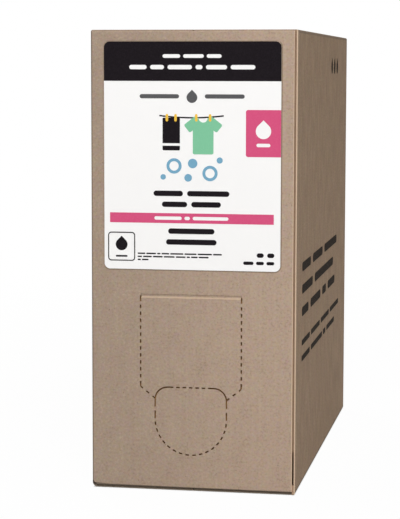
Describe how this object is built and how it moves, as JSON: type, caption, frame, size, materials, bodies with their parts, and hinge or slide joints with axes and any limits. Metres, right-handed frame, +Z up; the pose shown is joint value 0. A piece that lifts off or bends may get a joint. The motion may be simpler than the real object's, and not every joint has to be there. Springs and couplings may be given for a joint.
{
  "type": "sealed bag-in-box refill carton for liquid laundry detergent",
  "caption": "Sealed kraft corrugated refill carton for liquid laundry detergent, with a perforated spout opening low on its front and a plain printed paper label above it.",
  "frame": {"origin": "middle of the base, on the surface that the carton stands on", "axes": "+Z up; the front panel with the label and the spout opening faces -Y; the printed side panel faces +X"},
  "size_m": [0.0901, 0.2103, 0.2],
  "materials": {
    "kraft_board": "matte kraft corrugated board",
    "label_paper": "semi-matte coated paper",
    "black_ink": "black ink on coated paper",
    "pink_ink": "pink ink on coated paper",
    "grey_ink": "grey ink on coated paper",
    "green_ink": "green ink on coated paper",
    "blue_ink": "blue ink on coated paper",
    "yellow_ink": "yellow ink on coated paper",
    "board_ink": "dark ink soaked into kraft board"
  },
  "bodies": {
    "root": {"carton": "kraft_board", "label": "label_paper", "black_print": "black_ink", "pink_print": "pink_ink", "grey_print": "grey_ink", "green_print": "green_ink", "blue_print": "blue_ink", "yellow_print": "yellow_ink", "side_print": "board_ink"}
  },
  "joints": []
}
